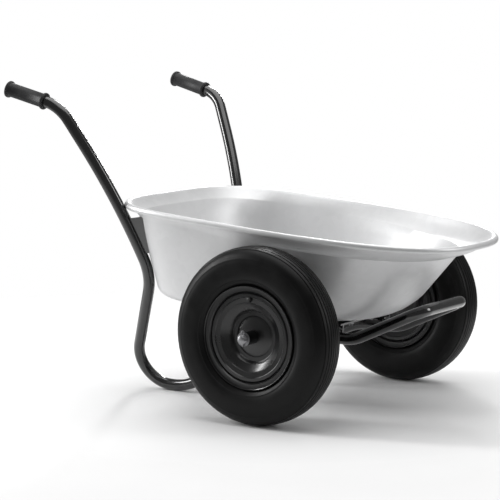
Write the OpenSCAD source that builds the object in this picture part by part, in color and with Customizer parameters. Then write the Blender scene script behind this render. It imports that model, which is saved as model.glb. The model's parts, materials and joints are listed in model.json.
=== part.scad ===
// Two-wheeled garden wheelbarrow: a pressed steel tub on a bent tube frame with pneumatic wheels.
// X runs forward, Y to the left of the person pushing, Z up. The ground is Z = 0.

/* [Wheels] */
// Outer diameter of each tyre
tyre_d = 400; // [380:1:410]
// Greatest width of each tyre
tyre_w = 96; // [84:1:100]
// Diameter of the seat that the tyre's beads grip
seat_d = 203.2; // [190:0.1:210]
// Outer diameter of the rim's flanges
flange_d = 234; // [226:1:240]
// Distance between the outer faces of the rim's flanges
rim_w = 82; // [70:1:86]
// Distance that each tyre reaches in under the tub's rim, beside the axle
tyre_tuck = 18; // [8:0.5:19]
// Thickness of the sheet that the rims are pressed from
rim_sheet = 2; // [1.5:0.1:2.5]
// Wall of the nylon bushes
bush_wall = 2.7; // [2:0.1:4]
// Length of the hub sleeve
hub_l = 104; // [100:1:112]
// Wall of the hub sleeve
hub_wall = 2.2; // [1.6:0.1:2.6]
// Number of grooves around the tread
tread_grooves = 8; // [0:1:10]

/* [Axle] */
// Diameter of the axle
axle_d = 20; // [16:0.5:22]
// Length of axle past the middle of each split pin
axle_end = 7.8; // [5:0.1:14]
// Radial running clearance between the axle and the bushes
axle_clearance = 0.06; // [0.02:0.01:0.1]
// Length of each axle collar
collar_l = 10; // [8:1:16]

/* [Frame] */
// Outer diameter of the frame tube
tube_d = 26.9; // [24:0.1:30]
// Wall of the frame tube
tube_wall = 2; // [1.5:0.1:2.5]
// Distance between the two runner tubes, middle to middle
runner_gap = 214; // [200:1:230]
// Distance from the rim's side in to the inner face of each handle that passes it
handle_inset = 40.5; // [38:0.5:44]
// Height of the grips' inner ends
handle_z = 696; // [670:1:740]
// Distance from the axle back to the grips' inner ends
handle_back = 588; // [575:1:600]
// Rise of the grips towards their outer ends, in degrees
grip_rise = 14.5; // [10:0.5:20]
// Distance from each grip's inner end forward to the corner of the bend under it
elbow_run = 39; // [30:1:45]
// Radius of the bend under each grip
elbow_r = 84; // [60:1:88]
// Distance from the rim's rear end forward to the corner of the long bend beside it
sweep_in = 30; // [22:1:34]
// Height of the long bend's corner above the rim
sweep_rise = 15; // [5:1:25]
// Radius of the long bend beside the rim
sweep_r = 1500; // [1000:10:1600]
// Distance from the rear end of the tub's flat floor back to the front of the knee
knee_gap = 27.5; // [27:0.5:36]
// Distance from the rim down to the knee's corner
knee_drop = 172; // [165:1:180]
// Radius of the knee bend
knee_r = 135; // [100:1:160]
// Distance from the axle back to the corner of the foot bend
heel_back = 502; // [495:1:510]
// Radius of the foot bend
heel_r = 75; // [60:1:76]
// Distance from the axle back to the corner where the runner starts to rise
toe_back = 349; // [340:1:350]
// Radius of the bend where the runner starts to rise
toe_r = 150; // [100:1:155]
// Distance from the axle back to the joint between each side tube and the front loop
joint_back = 100; // [90:1:120]
// Gap between the axle and the runners' level stretch under it
runner_drop = 5.5; // [3:0.5:10]
// Distance from the axle forward to the corner where the level stretch starts
level_start = 4; // [0:1:8]
// Radius of the bend where the level stretch starts
level_start_r = 150; // [100:1:160]
// Distance from the axle forward to the corner where the front loop starts to rise
level_end = 117; // [110:1:125]
// Radius of the bend where the front loop starts to rise
level_end_r = 100; // [70:1:120]
// Distance from the axle forward to the front crossbar's middle
nose_reach = 289; // [275:1:300]
// Height of the front crossbar above the runners' level stretch
nose_rise = 79; // [70:1:84]
// Radius of the front loop's two corners
corner_r = 36; // [34:1:60]

/* [Tub] */
// Length of the rim, between the middles of the rolled bead
tub_l = 843; // [820:1:860]
// Distance from the axle back to the rim's rear end
tub_back = 467; // [450:1:475]
// Width of the rim at the rear
tub_w_rear = 568; // [540:1:575]
// Width of the rim at the front
tub_w_front = 613; // [590:1:618]
// Depth of the tub below the middle of the bead
tub_depth = 207; // [195:1:208]
// Gap between the axle and the tub's floor above it
floor_lift = 3.5; // [2:0.5:20]
// Forward pitch of the tub, in degrees
tub_pitch = 4.6; // [4:0.1:5]
// Length of the floor's flat part
floor_l = 438; // [400:1:445]
// Width of the floor's flat part
floor_w = 420; // [390:1:424]
// Distance from the axle back to the rear end of the floor's flat part
floor_back = 342; // [330:1:346]
// Thickness of the tub's sheet
tub_sheet = 1.2; // [1:0.1:1.5]
// Outer diameter of the rolled bead
bead_d = 15; // [13:0.5:17]

/* [Fittings] */
// Length of each grip
grip_l = 106; // [95:1:130]
// Wall of the grip's body
grip_wall = 2.9; // [2:0.1:5]
// Height of the flanges at the grip's ends above its body
grip_flange = 3.5; // [2.5:0.1:6]
// Width of the two saddle straps that carry the tub
strap_w = 30; // [24:1:36]
// Thickness of the straps and the gusset plates
plate = 4; // [3:0.5:5]
// Diameter of the studs under the tub
stud_d = 8; // [6:1:8]

/* [Hidden] */
$fn = 64;

// Smallest gap left between pieces of one body that only touch
gap = 0.1;
wheel_r = tyre_d / 2;
tube_r = tube_d / 2;
axle_r = axle_d / 2;
bead_r = bead_d / 2;
stud_r = stud_d / 2;
// Radial gap of a fixed fit, such as a bracket or a washer on the axle
fixed_fit = 0.05;
hub_r = axle_r + axle_clearance + bush_wall + fixed_fit + hub_wall;
// Width of the rim beside the axle, and distance between the wheels' middle planes
rim_beside_axle = tub_w_rear + (tub_w_front - tub_w_rear) * tub_back / tub_l;
track = rim_beside_axle - 2 * tyre_tuck + tyre_w;
// Height of the runners' level stretch, of the front crossbar and of the rim's rear end
runner_z = wheel_r - axle_r - runner_drop - tube_r;
nose_z = runner_z + nose_rise;
tub_z = wheel_r + axle_r + floor_lift
    + tub_back * tan(tub_pitch) + (tub_depth + tub_sheet) / cos(tub_pitch);

// Colours
tub_colour = [0.85, 0.86, 0.87];
frame_colour = [0.03, 0.03, 0.03];
rubber_colour = [0.06, 0.06, 0.06];
grip_colour = [0.2, 0.2, 0.2];
rim_colour = [0.1, 0.1, 0.1];
zinc_colour = [0.7, 0.7, 0.72];
nylon_colour = [0.9, 0.9, 0.85];
brass_colour = [0.8, 0.65, 0.3];

// ---- Vectors and outlines ----

function unit(v) = v / norm(v);

// Point on a circle of radius r at angle a
function polar(r, a) = [r * cos(a), r * sin(a)];

// Signed power, for superellipses
function spow(v, e) = sign(v) * pow(abs(v), e);

// Moves an open outline sideways by t, to the right of its direction of travel
function side_step(path, t) = [
    for (i = [0 : len(path) - 1])
        let (
            before = path[max(i - 1, 0)],
            after = path[min(i + 1, len(path) - 1)],
            d = unit(after - before)
        ) path[i] + t * [d[1], -d[0]]
];

// Closed outline of a sheet that follows an open outline
function sheet_outline(path, t) =
    let (back = side_step(path, t))
    concat(path, [for (i = [len(path) - 1 : -1 : 0]) back[i]]);

// Quadratic curve from a to c that is drawn towards b, without its first point
function curve(a, b, c, steps) = [
    for (k = [1 : steps])
        let (s = k / steps) (1 - s) * (1 - s) * a + 2 * s * (1 - s) * b + s * s * c
];

// ---- Bent tubes ----

// Largest angle between two rings of a bend
arc_step = 12;
// Longest stretch between two rings of a bend
arc_stretch = 60;
// Sides of a bent tube
tube_sides = 16;

function turn(corners, i) =
    acos(unit(corners[i] - corners[i - 1]) * unit(corners[i + 1] - corners[i]));

// Length of straight that the bend at corner i uses up on each side
function bend_reach(corners, radii, i) =
    i == 0 || i == len(corners) - 1 ? 0 : radii[i] * tan(turn(corners, i) / 2);

// Share of its radius that bend i keeps, so that it and its neighbour fit on the straight to j
function bend_share(corners, radii, i, j) =
    norm(corners[i] - corners[j])
        / (bend_reach(corners, radii, i) + bend_reach(corners, radii, j) + 1);

// Points along the bend at corner i
function bend(corners, radii, i) =
    let (
        a = unit(corners[i] - corners[i - 1]),
        b = unit(corners[i + 1] - corners[i]),
        angle = turn(corners, i),
        inward = unit(b - (a * b) * a),
        share = min(1, bend_share(corners, radii, i, i - 1), bend_share(corners, radii, i, i + 1)),
        r = share * radii[i],
        start = corners[i] - r * tan(angle / 2) * a,
        steps = ceil(max(angle / arc_step, r * angle * PI / 180 / arc_stretch))
    ) [
        for (k = [0 : steps])
            let (q = angle * k / steps) start + r * (sin(q) * a + (1 - cos(q)) * inward)
    ];

// Middle line of a bent tube, from its corners and the bend radius at each
function middle_line(corners, radii) =
    let (last = len(corners) - 1)
    concat([corners[0]], [for (i = [1 : last - 1]) each bend(corners, radii, i)], [corners[last]]);

// One ring of points around point i of a path
function ring(path, i, up, r, sides) =
    let (
        d = unit(path[min(i + 1, len(path) - 1)] - path[max(i - 1, 0)]),
        u = unit(cross(d, up)),
        v = cross(u, d)
    ) [for (k = [0 : sides - 1]) path[i] + r * (cos(360 * k / sides) * u + sin(360 * k / sides) * v)];

// Faces between ring a and ring b of a list of rings with the same number of points
function band(a, b, sides) = [
    for (k = [0 : sides - 1])
        let (m = (k + 1) % sides)
        each [
            [a * sides + k, a * sides + m, b * sides + m],
            [a * sides + k, b * sides + m, b * sides + k]
        ]
];

// Closed skin through a loop of rings: each ring joins the next, and the last the first
module ring_loop(rings, sides) {
    n = len(rings);
    polyhedron(
        points = [for (r = rings) each r],
        faces = [for (i = [0 : n - 1]) each band(i, (i + 1) % n, sides)],
        convexity = 8
    );
}

// Hollow tube with open ends along a path
module tube_along(path, up, r, wall) {
    outer = [for (i = [0 : len(path) - 1]) ring(path, i, up, r, tube_sides)];
    inner = [for (i = [len(path) - 1 : -1 : 0]) ring(path, i, up, r - wall, tube_sides)];
    ring_loop(concat(outer, inner), tube_sides);
}

// Puts its children's +Z along a direction, starting from a point
module along(point, direction) {
    d = unit(direction);
    translate(point) rotate([0, acos(d[2]), atan2(d[1], d[0])]) children();
}

// ---- Side tubes ----

elbow_back = handle_back - elbow_run;
elbow_z = handle_z - elbow_run * tan(grip_rise);
sweep_back = tub_back - sweep_in;
sweep_z = tub_z + sweep_rise;
knee_back = floor_back + knee_gap + tube_r;
knee_z = tub_z - knee_drop;
// Angle at which the handles splay outwards above the runners
splay = atan((tub_w_rear / 2 - handle_inset + tube_r - runner_gap / 2) / (sweep_z - tube_r));

// Distance from the middle plane to a side tube at a height
function side_y(z) = runner_gap / 2 + max(z - tube_r, 0) * tan(splay);
function side_point(side, back, z) = [-back, side * side_y(z), z];

function grip_inner(side) = side_point(side, handle_back, handle_z);
function grip_outer(side) =
    side_point(side, handle_back + grip_l * cos(grip_rise), handle_z + grip_l * sin(grip_rise));
function grip_direction(side) = unit(grip_outer(side) - grip_inner(side));

// Point on the runner's rising line at a distance behind the axle
function runner_point(side, back) = [
    -back,
    side * runner_gap / 2,
    tube_r + (runner_z - tube_r) * (toe_back - back) / (toe_back + level_start)
];

grip_end_wall = 3;
function side_corners(side) = [
    grip_inner(side) + (grip_l - grip_end_wall - gap) * grip_direction(side),
    side_point(side, elbow_back, elbow_z),
    side_point(side, sweep_back, sweep_z),
    side_point(side, knee_back, knee_z),
    side_point(side, heel_back, tube_r),
    side_point(side, toe_back, tube_r),
    runner_point(side, joint_back)
];
side_radii = [0, elbow_r, sweep_r, knee_r, heel_r, toe_r, 0];

module side_tube(side) {
    color(frame_colour)
        tube_along(middle_line(side_corners(side), side_radii), [0, 1, 0], tube_r, tube_wall);
}

// ---- Front loop ----

function loop_half(side) = [
    runner_point(side, joint_back),
    [level_start, side * runner_gap / 2, runner_z],
    [level_end, side * runner_gap / 2, runner_z],
    [nose_reach, side * runner_gap / 2, nose_z]
];
loop_corners = concat(loop_half(-1), [for (i = [3 : -1 : 0]) loop_half(1)[i]]);
loop_radii = [0, level_start_r, level_end_r, corner_r, corner_r, level_end_r, level_start_r, 0];

module front_loop() {
    color(frame_colour)
        tube_along(middle_line(loop_corners, loop_radii), [0, 0, 1], tube_r, tube_wall);
}

// Runner's direction where the side tube meets the front loop
function joint_direction(side) = unit(runner_point(side, 0) - runner_point(side, toe_back));
// Length of each joint sleeve
sleeve_l = 90;
// The tube's bore is a polygon, so the sleeve clears its flats
sleeve_r = (tube_r - tube_wall) * cos(180 / tube_sides) - gap;

module joint_sleeve(side) {
    color(zinc_colour) along(runner_point(side, joint_back), joint_direction(side)) difference() {
        cylinder(r = sleeve_r, h = sleeve_l, center = true);
        cylinder(r = sleeve_r - tube_wall, h = sleeve_l + 1, center = true);
    }
}

// ---- Tub ----
// The tub is drawn in its own frame: the origin is the middle of the bead at the rear end,
// +X runs forward in the plane of the rim and +Z is square to that plane.

module tub_place() {
    translate([-tub_back, 0, tub_z]) rotate([0, tub_pitch, 0]) children();
}

// Directions around the tub
tub_steps = 80;
// Distance from the rear end to the widest part of each outline's corners
rim_middle = 273;
floor_middle = 132;
// Squareness of the outlines' rear and front corners
rim_square = [3.7, 2.7];
floor_square = [3.3, 2.15];
floor_start = tub_back - floor_back;

// Outline of the tub seen from above, at direction a: start, length, middle, squareness and widths
function outline(a, start, length, middle, square, w_rear, w_front) =
    let (
        n = cos(a) < 0 ? square[0] : square[1],
        reach = cos(a) < 0 ? middle : length - middle,
        x = middle + reach * spow(cos(a), 2 / n),
        w = w_rear + (w_front - w_rear) * x / length
    ) [start + x, w / 2 * spow(sin(a), 2 / n)];

function rim_at(a) = outline(a, 0, tub_l, rim_middle, rim_square, tub_w_rear, tub_w_front);
function floor_at(a) =
    outline(a, floor_start, floor_l, floor_middle, floor_square, floor_w, floor_w);

// Shape of the wall between the floor's edge and the bead, as shares of its span and height,
// at the rear and at the nose: where the bottom curve is drawn towards, where the straight
// wall starts, and where it ends
wall_shape = [
    [[0.31, 0], [0.33, 0.11], [0.77, 0.91]],
    [[0.25, 0], [0.435, 0.285], [0.715, 0.82]]
];
// Direction around the bead at which the wall runs into it, and at which the roll ends
roll_start = 140;
roll_end = -130;
roll_step = 30;

// Wall outline from the floor's edge to the end of the roll, for a span and a share of nose shape
function wall_path(span, nose) =
    let (
        shape = wall_shape[0] * (1 - nose) + wall_shape[1] * nose,
        spot = [for (p = shape) [p[0] * span, -tub_depth * (1 - p[1])]],
        top = [span, 0] + polar(bead_r, roll_start),
        lip = top - 0.6 * norm(top - spot[2]) * [sin(roll_start), -cos(roll_start)]
    )
    concat(
        [[0, -tub_depth]],
        curve([0, -tub_depth], spot[0], spot[1], 4),
        curve(spot[1], (spot[1] + spot[2]) / 2, spot[2], 2),
        curve(spot[2], lip, top, 4),
        [for (a = [roll_start - roll_step : -roll_step : roll_end]) [span, 0] + polar(bead_r, a)]
    );

// Points down the wall at direction a: the inner skin, then the outer skin in reverse
function wall_points(a, sheet = tub_sheet) =
    let (
        foot = floor_at(a),
        rim = rim_at(a),
        way = unit(rim - foot),
        inside = wall_path(norm(rim - foot), (1 + cos(a)) / 2),
        outline = sheet_outline(inside, sheet)
    ) [for (p = outline) [foot[0] + way[0] * p[0], foot[1] + way[1] * p[0], p[1]]];

module tub() {
    walls = [for (k = [0 : tub_steps - 1]) wall_points(360 * k / tub_steps)];
    n = len(walls[0]);
    centre = floor_start + floor_middle;
    points = concat(
        [for (w = walls) each w],
        [[centre, 0, -tub_depth], [centre, 0, -tub_depth - tub_sheet]]
    );
    inside = tub_steps * n;
    faces = [
        for (k = [0 : tub_steps - 1])
            let (a = k * n, b = ((k + 1) % tub_steps) * n)
            each concat(
                [for (i = [0 : n - 2]) each [[a + i, b + i, b + i + 1], [a + i, b + i + 1, a + i + 1]]],
                [[inside, b, a], [inside + 1, a + n - 1, b + n - 1]]
            )
    ];
    color(tub_colour) tub_place() polyhedron(points = points, faces = faces, convexity = 8);
}

wire_sides = 8;
// Core of the bead. Its rings lie in the planes of the wall's outlines, as the bead's own do.
module rim_wire() {
    r = bead_r * cos(roll_step / 2) - tub_sheet - gap;
    rings = [
        for (k = [0 : tub_steps - 1])
            let (
                a = 360 * k / tub_steps,
                rim = rim_at(a),
                way = unit(rim - floor_at(a))
            ) [
                for (i = [0 : wire_sides - 1])
                    let (p = polar(r, 360 * i / wire_sides))
                    [rim[0] + way[0] * p[0], rim[1] + way[1] * p[0], p[1]]
            ]
    ];
    color(zinc_colour) tub_place() ring_loop(rings, wire_sides);
}

// ---- Saddles, gussets and tub studs ----

// Height of the floor's underside at a distance forward of the axle
function floor_z(x) = wheel_r + axle_r + floor_lift - x * tan(tub_pitch);

// Puts its children's origin on the floor's underside, at a distance forward of the axle
module under_floor(x) {
    translate([x, 0, floor_z(x)]) rotate([0, tub_pitch, 0]) children();
}

// Distances forward of the axle to the middles of the rear and front straps
saddle_x = [-70, 76];
// Distance from the runners' middles in to the studs
stud_inset = 60;
strap_reach = runner_gap / 2 + 12;
// Slope of the runner's rising stretch, and the height of its middle under the rear strap
runner_slope = atan((runner_z - tube_r) / (toe_back + level_start));
rear_leg_z = runner_point(1, -saddle_x[0])[2];

// Puts its children at each of the four studs, with the floor's underside at Z = 0
module stud_sites() {
    for (x = saddle_x, side = [-1, 1]) under_floor(x)
        translate([0, side * (runner_gap / 2 - stud_inset), 0]) children();
}

// A strap under the tub's floor with a leg down to each runner
module saddle(x, tube_z, tube_slope) {
    leg_l = floor_z(x) - tube_z;
    color(frame_colour) difference() {
        under_floor(x) {
            translate([-strap_w / 2, -strap_reach, -plate - gap])
                cube([strap_w, 2 * strap_reach, plate]);
            for (side = [-1, 1])
                translate([-strap_w / 2, side * runner_gap / 2 - plate / 2, -leg_l])
                    cube([strap_w, plate, leg_l - plate / 2]);
        }
        stud_sites() cylinder(r = stud_r + gap, h = 4 * plate, center = true);
        for (side = [-1, 1]) translate([x, side * runner_gap / 2, tube_z])
            rotate([0, 90 - tube_slope, 0]) cylinder(r = tube_r + gap, h = 4 * strap_w, center = true);
    }
}

nut_h = 0.8 * stud_d;
thread_out = 4;
// Studs welded under the floor, which the straps hang on
module tub_studs() {
    stud_l = gap + plate + nut_h + thread_out;
    color(zinc_colour) stud_sites() translate([0, 0, -gap / 2 - stud_l])
        cylinder(r = stud_r, h = stud_l);
}

module tub_nuts() {
    color(zinc_colour) stud_sites() translate([0, 0, -plate - 2 * gap - nut_h]) difference() {
        cylinder(r = 0.9 * stud_d, h = nut_h, $fn = 6);
        translate([0, 0, -1]) cylinder(r = stud_r + gap / 2, h = nut_h + 2);
    }
}

// Puts its children's XY plane in the plane of a side tube's leg, with Y up the leg
module leg_plane(side) {
    mirror([0, side < 0 ? 1 : 0, 0])
        translate([0, runner_gap / 2, tube_r]) rotate([90 - splay, 0, 0]) children();
}

// Where the side tube's middle line passes a height: its distance forward of the axle, and the
// distance from there to the tube's front face, both measured along the ground
function leg_x(side, z) =
    let (
        line = middle_line(side_corners(side), side_radii),
        k = [for (i = [0 : len(line) - 2]) if (line[i][2] >= z && line[i + 1][2] <= z) i][0],
        step = line[k + 1] - line[k],
        d = unit(step)
    ) [line[k][0] + step[0] * (z - line[k][2]) / step[2], tube_r / sqrt(1 - d[0] * d[0])];

// Block that fills the tub, a little larger than the tub's outside
module tub_block() {
    n = len(wall_path(100, 0));
    walls = [
        for (k = [0 : tub_steps - 1])
            let (w = wall_points(360 * k / tub_steps, tub_sheet + 3 * gap))
            [for (i = [2 * n - 1 : -1 : n + 8]) w[i]]
    ];
    m = len(walls[0]);
    polyhedron(
        points = [for (w = walls) each w],
        faces = concat(
            [for (k = [0 : tub_steps - 1], i = [0 : m - 2])
                let (a = k * m + i, b = ((k + 1) % tub_steps) * m + i)
                each [[a, a + 1, b + 1], [a, b + 1, b]]],
            [[for (k = [0 : tub_steps - 1]) k * m]],
            [[for (k = [tub_steps - 1 : -1 : 0]) k * m + m - 1]]
        )
    );
}

gusset_top_z = 426;
gusset_low_z = 345;
gusset_rise = 12;
// Plate welded to the front of each side tube, whose other edge follows the tub's wall
module gusset(side) {
    levels = [gusset_top_z, (gusset_top_z + gusset_low_z) / 2, gusset_low_z];
    back_edge = [for (z = levels) let (x = leg_x(1, z)) [x[0] + x[1] + 3 * gap, z]];
    corners = concat(back_edge, [[-floor_back, gusset_low_z], [-floor_back, gusset_top_z + gusset_rise]]);
    color(frame_colour) difference() {
        leg_plane(side) linear_extrude(plate, center = true)
            polygon([for (c = corners) [c[0], (c[1] - tube_r) / cos(splay)]]);
        tub_place() tub_block();
    }
}

// ---- Grips ----

grip_edge_r = 2.5;
grip_flange_l = 6;
tube_fit = 0.15;
grip_r = tube_r + tube_fit + grip_wall;
module grip(side) {
    flange_r = grip_r + grip_flange;
    color(grip_colour) along(grip_inner(side), grip_direction(side)) difference() {
        union() {
            cylinder(r = grip_r, h = grip_l);
            for (at = [0, grip_l - grip_flange_l]) translate([0, 0, at]) rotate_extrude() {
                square([flange_r - grip_edge_r, grip_flange_l]);
                for (h = [grip_edge_r, grip_flange_l - grip_edge_r])
                    translate([flange_r - grip_edge_r, h]) circle(r = grip_edge_r);
                translate([0, grip_edge_r]) square([flange_r, grip_flange_l - 2 * grip_edge_r]);
            }
        }
        translate([0, 0, -1]) cylinder(r = tube_r + tube_fit, h = grip_l - grip_end_wall + 1);
    }
}

// ---- Axle ----

// End play between a wheel's hub and what holds it on the axle
end_play = 0.3;
bush_flange = 2;
washer_h = 2.5;
pin_r = 1.9;
axle_chamfer = 2;
hub_end = hub_l / 2 + bush_flange;
pin_out = hub_end + end_play + washer_h + pin_r + 0.5;
axle_half = track / 2 + pin_out + axle_end;

// Puts its children at the axle's middle with +Z to the left
module axle_place() {
    translate([0, 0, wheel_r]) rotate([-90, 0, 0]) children();
}

module axle() {
    color(zinc_colour) axle_place() difference() {
        rotate_extrude() polygon([
            [0, -axle_half], [axle_r - axle_chamfer, -axle_half], [axle_r, axle_chamfer - axle_half],
            [axle_r, axle_half - axle_chamfer], [axle_r - axle_chamfer, axle_half], [0, axle_half]
        ]);
        for (side = [-1, 1]) translate([0, 0, side * (track / 2 + pin_out)]) rotate([90, 0, 0])
            cylinder(r = pin_r + gap, h = 2 * axle_d, center = true);
    }
}

bracket_w = 24;
bracket_wall = 7;
// Distance kept between the brackets and the tub's floor
bracket_play = 1;
module axle_bracket(side) {
    // Middle of the bend that the bracket sits on
    drop = level_start_r * (1 / cos(runner_slope / 2) - 1);
    seat = [level_start + drop * sin(runner_slope / 2), runner_z - drop * cos(runner_slope / 2)];
    color(frame_colour) difference() {
        union() {
            axle_place() translate([0, 0, side * runner_gap / 2])
                cylinder(r = axle_r + bracket_wall, h = bracket_w, center = true);
            translate([-axle_r - bracket_wall, side * runner_gap / 2 - bracket_w / 2, runner_z])
                cube([2 * (axle_r + bracket_wall), bracket_w, wheel_r - runner_z]);
        }
        axle_place() translate([0, 0, side * runner_gap / 2])
            cylinder(r = axle_r + fixed_fit, h = 2 * bracket_w, center = true);
        under_floor(0) translate([-axle_d, side * runner_gap / 2 - bracket_w, -bracket_play])
            cube([2 * axle_d, 2 * bracket_w, axle_d]);
        translate([seat[0], side * runner_gap / 2, seat[1]]) rotate([0, 90 - runner_slope / 2, 0])
            cylinder(r = tube_r + gap, h = 4 * axle_d, center = true);
    }
}

// Puts its children at a wheel's middle with +Z outwards and +X up
module wheel_place(side) {
    translate([0, side * track / 2, wheel_r]) rotate([-90 * side, 0, 0]) rotate([0, 0, -90 * side])
        children();
}

module axle_ring(r, h) {
    difference() {
        cylinder(r = r, h = h);
        translate([0, 0, -1]) cylinder(r = axle_r + fixed_fit, h = h + 2);
    }
}

module axle_collar(side) {
    color(zinc_colour) wheel_place(side) translate([0, 0, -hub_end - end_play - collar_l])
        axle_ring(hub_r + 1, collar_l);
}

module axle_washer(side) {
    color(zinc_colour) wheel_place(side) translate([0, 0, hub_end + end_play])
        axle_ring(hub_r + 1, washer_h);
}

// Split pin with a round eye above the axle and two spread tails below it
module split_pin(side) {
    eye_r = 4;
    color(zinc_colour) wheel_place(side) translate([0, 0, pin_out]) rotate([0, 90, 0]) {
        translate([0, 0, -axle_r - 6]) cylinder(r = pin_r, h = axle_d + 8);
        translate([0, 0, axle_r + 1 + eye_r]) rotate([0, 90, 0])
            rotate_extrude() translate([eye_r, 0]) circle(r = pin_r / 2);
    }
}

// ---- Wheels ----

seat_r = seat_d / 2;
flange_r = flange_d / 2;
rim_half = rim_w / 2;
// Depth of the bead pocket behind the rim's flange
flange_lip = 6;
bead_out = rim_half - flange_lip - 0.6;
bead_in = bead_out - 10;
// Height of the tyre's section above the bead seat, its wall and its tread's thickness
bead_lap = 6.4;
tyre_h = wheel_r - seat_r - bead_lap;
section_mid = wheel_r - tyre_h / 2;
sidewall = 5;
tread = 8;
arc_points = 24;
// Squareness of the tyre's section outside and inside
tyre_square = 2.6;
tube_square = 2.4;
// Gap between the tyre's sidewall and the tip of the rim's flange
flange_play = 1.8;

// Half outline of a tyre-like section: distances from the axle and from the wheel's middle
function section(half_w, half_h, square, low, steps = arc_points) = [
    for (k = [0 : steps])
        let (a = 90 - (90 - low) * k / steps)
        [section_mid + half_h * spow(sin(a), 2 / square), half_w * spow(cos(a), 2 / square)]
];

// A half outline and its mirror image, joined into a ring
module ring_section(half) {
    polygon(concat(half, [for (i = [len(half) - 1 : -1 : 0]) [half[i][0], -half[i][1]]]));
}

module tyre(side) {
    low = asin(pow((section_mid - flange_r - flange_play) * 2 / tyre_h, tyre_square / 2));
    outer = section(tyre_w / 2, tyre_h / 2, tyre_square, -low);
    inner = section(tyre_w / 2 - sidewall, tyre_h / 2 - tread, tube_square, 5 - low);
    half = concat(
        outer,
        [[flange_r - 1, bead_out], [seat_r + 3, bead_out], [seat_r + gap, bead_out - 3.2]],
        [[seat_r + gap, bead_in], [seat_r + 5, bead_in - 1]],
        [for (i = [arc_points : -1 : 0]) inner[i]]
    );
    groove_w = 2;
    groove_h = 2;
    pitch = 8.4;
    color(rubber_colour) wheel_place(side) rotate_extrude() difference() {
        ring_section(half);
        for (i = [0 : 1 : tread_grooves - 1]) {
            w = (i - (tread_grooves - 1) / 2) * pitch;
            share = pow(abs(w) * 2 / tyre_w, tyre_square);
            crown = section_mid + tyre_h / 2 * pow(1 - share, 1 / tyre_square);
            translate([crown - groove_h, w - groove_w / 2]) square([2 * groove_h, groove_w]);
        }
    }
}

tube_play = 0.6;
module inner_tube(side) {
    half_w = tyre_w / 2 - sidewall - tube_play;
    half_h = tyre_h / 2 - tread - tube_play;
    tube_sheet = 2;
    color(rubber_colour) wheel_place(side) rotate_extrude() difference() {
        ring_section(section(half_w, half_h, tube_square, -90));
        ring_section(section(half_w - tube_sheet, half_h - tube_sheet, tube_square, -90));
    }
}

well_r = seat_r - 6;
disc_seat_r = seat_r - rim_sheet - 1.2;
// Distance from the wheel's middle plane to the valve's bent part, and from the disc's edge to
// the valve
valve_w = 19;
valve_inset = 13.4;
valve_r = disc_seat_r - valve_inset;
valve_stem_r = 4;
// Rim barrel with its two flanges, and a hole for the valve
module rim(side) {
    half = [
        [well_r, 0], [well_r, 9], [seat_r - 1, 14], [seat_r, bead_out - 3], [seat_r + 3, bead_out + 0.6],
        [flange_r - 4, rim_half - flange_lip], [flange_r - 1, rim_half - flange_lip + 1],
        [flange_r, rim_half - 2.5], [flange_r - 2, rim_half]
    ];
    path = concat([for (i = [len(half) - 1 : -1 : 1]) [half[i][0], -half[i][1]]], half);
    color(rim_colour) wheel_place(side) difference() {
        rotate_extrude() polygon(sheet_outline(path, -rim_sheet));
        translate([0, 0, valve_w]) rotate([0, 90, 0]) cylinder(r = valve_stem_r + 0.6, h = flange_r);
    }
}

// Distance from the wheel's middle plane to each disc's face at the hub
disc_w = 9;
// Radius of each disc's flat middle, and of the dome that stands on it
recess_r = disc_seat_r - 43.4;
dome_r = recess_r - 7.7;
dome_h = 9.6;
// Steps of each disc: distance in from its edge, and distance from the wheel's middle plane
disc_steps = [
    [39.4, 12.5], [37.4, 18], [34.4, 20], [22.4, 26.5], [19.9, 29.5], [9.4, 30.5], [7.4, 33], [2, 33],
    [0, 31], [0, 25]
];
valve_hole_r = 6.5;
// Pressed disc with concentric steps, drawn as the outer one
module disc(side, out) {
    path = concat(
        [[hub_r + gap, disc_w], [recess_r, disc_w]],
        [for (p = disc_steps) [disc_seat_r - p[0], p[1]]]
    );
    color(rim_colour) wheel_place(side) mirror([0, 0, out ? 0 : 1]) difference() {
        rotate_extrude() polygon(sheet_outline(path, rim_sheet));
        if (out) translate([valve_r, 0, 0]) cylinder(r = valve_hole_r, h = rim_w);
    }
}

module hub_dome(side, out) {
    low = acos((hub_r + gap) / dome_r);
    path = [for (k = [0 : 8]) let (a = low * (1 - k / 8)) [dome_r * cos(a), disc_w + dome_h * sin(a)]];
    color(rim_colour) wheel_place(side) mirror([0, 0, out ? 0 : 1])
        rotate_extrude() polygon(concat(
            [for (p = path) p + [0, gap]],
            [[dome_r - rim_sheet, disc_w + gap]],
            [for (i = [6 : -1 : 0]) path[i] + [i == 0 ? 0 : -0.2, gap - rim_sheet]]
        ));
}

bush_l = 22;
module hub_sleeve(side) {
    color(rim_colour) wheel_place(side) difference() {
        cylinder(r = hub_r, h = hub_l, center = true);
        cylinder(r = hub_r - hub_wall, h = hub_l + 1, center = true);
    }
}

module bush(side, out) {
    color(nylon_colour) wheel_place(side) mirror([0, 0, out ? 0 : 1]) difference() {
        union() {
            translate([0, 0, hub_l / 2 - bush_l]) cylinder(r = hub_r - hub_wall - fixed_fit, h = bush_l + 1);
            translate([0, 0, hub_l / 2 + gap]) cylinder(r = hub_r - 1, h = bush_flange - gap);
        }
        cylinder(r = axle_r + axle_clearance, h = hub_l);
    }
}

valve_end = 34;
// Bent valve stem: down from the inner tube, then out through the disc
module valve(side) {
    top = section_mid - (tyre_h / 2 - tread - tube_play) - gap;
    color(brass_colour) wheel_place(side) {
        translate([valve_r, 0, valve_w]) rotate([0, 90, 0]) cylinder(r = valve_stem_r, h = top - valve_r);
        translate([valve_r, 0, valve_w]) sphere(r = valve_stem_r);
        translate([valve_r, 0, valve_w]) cylinder(r = valve_stem_r, h = valve_end - valve_w);
    }
}

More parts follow.
